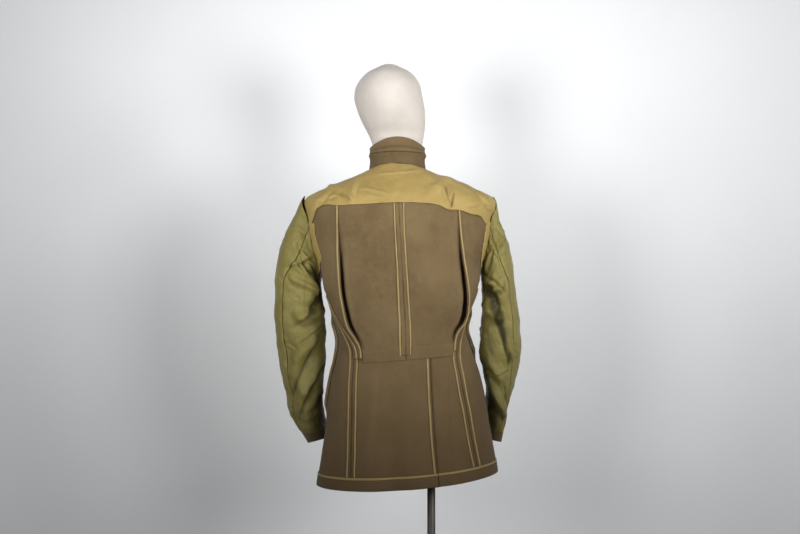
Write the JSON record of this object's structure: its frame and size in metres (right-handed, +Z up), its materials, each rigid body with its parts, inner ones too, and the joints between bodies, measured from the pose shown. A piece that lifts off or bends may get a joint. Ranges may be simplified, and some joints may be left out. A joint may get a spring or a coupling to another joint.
{
  "type": "inside-out military service jacket on a dress form",
  "caption": "Waisted wool service jacket turned inside out, with bound seams, ochre yoke lining and green sleeve linings, on an egg-head dress form with a pole stand.",
  "frame": {"origin": "on the floor, under the middle of the part's box", "axes": "+Z up; the jacket's back faces -Y and its front +Y, with the left of its back view at -X"},
  "size_m": [0.5782, 0.42, 1.772],
  "materials": {
    "wool": "olive-brown wool serge, matt twill",
    "binding": "ochre cotton seam binding",
    "yoke_lining": "ochre cotton sateen lining, creased",
    "sleeve_lining": "olive-green sateen lining, soft sheen, creased",
    "form_cover": "cream cloth cover of the dress form, smooth",
    "stand_metal": "dark bronze paint, half gloss"
  },
  "bodies": {
    "root": {"back_left": "wool", "back_right": "wool", "pleat_left": "wool", "pleat_right": "wool", "skirt_left": "wool", "skirt_right": "wool", "front_left": "wool", "front_right": "wool", "centre_allowance_left": "wool", "centre_allowance_right": "wool", "side_allowance_fore_left": "wool", "side_allowance_fore_right": "wool", "side_allowance_rear_left": "wool", "side_allowance_rear_right": "wool", "side_allowance_upper_left": "wool", "waist_band_left": "wool", "waist_band_right": "wool", "hem_turn_left": "wool", "hem_turn_right": "wool", "underarm_fin_left": "wool", "underarm_fin_right": "wool", "collar_stand": "wool", "collar_fall": "wool", "cuff_facing_left": "wool", "cuff_facing_right": "wool", "pleat_binding_left": "binding", "pleat_binding_right": "binding", "centre_binding_left": "binding", "centre_binding_right": "binding", "side_binding_fore_left": "binding", "side_binding_fore_right": "binding", "side_binding_rear_left": "binding", "side_binding_rear_right": "binding", "side_binding_upper_left": "binding", "vent_binding": "binding", "hem_binding_left": "binding", "hem_binding_right": "binding", "underarm_fin_binding_left": "binding", "underarm_fin_binding_right": "binding", "yoke_lining": "yoke_lining", "yoke_front_left": "yoke_lining", "yoke_front_right": "yoke_lining", "armhole_tape_left": "yoke_lining", "armhole_tape_right": "yoke_lining", "sleeve_top_left": "sleeve_lining", "sleeve_top_right": "sleeve_lining", "sleeve_under_left": "sleeve_lining", "sleeve_under_right": "sleeve_lining", "form_torso": "form_cover", "form_head": "form_cover", "stand_flange": "stand_metal", "stand_pole": "stand_metal", "stand_hub": "stand_metal", "stand_base": "stand_metal"}
  },
  "joints": []
}
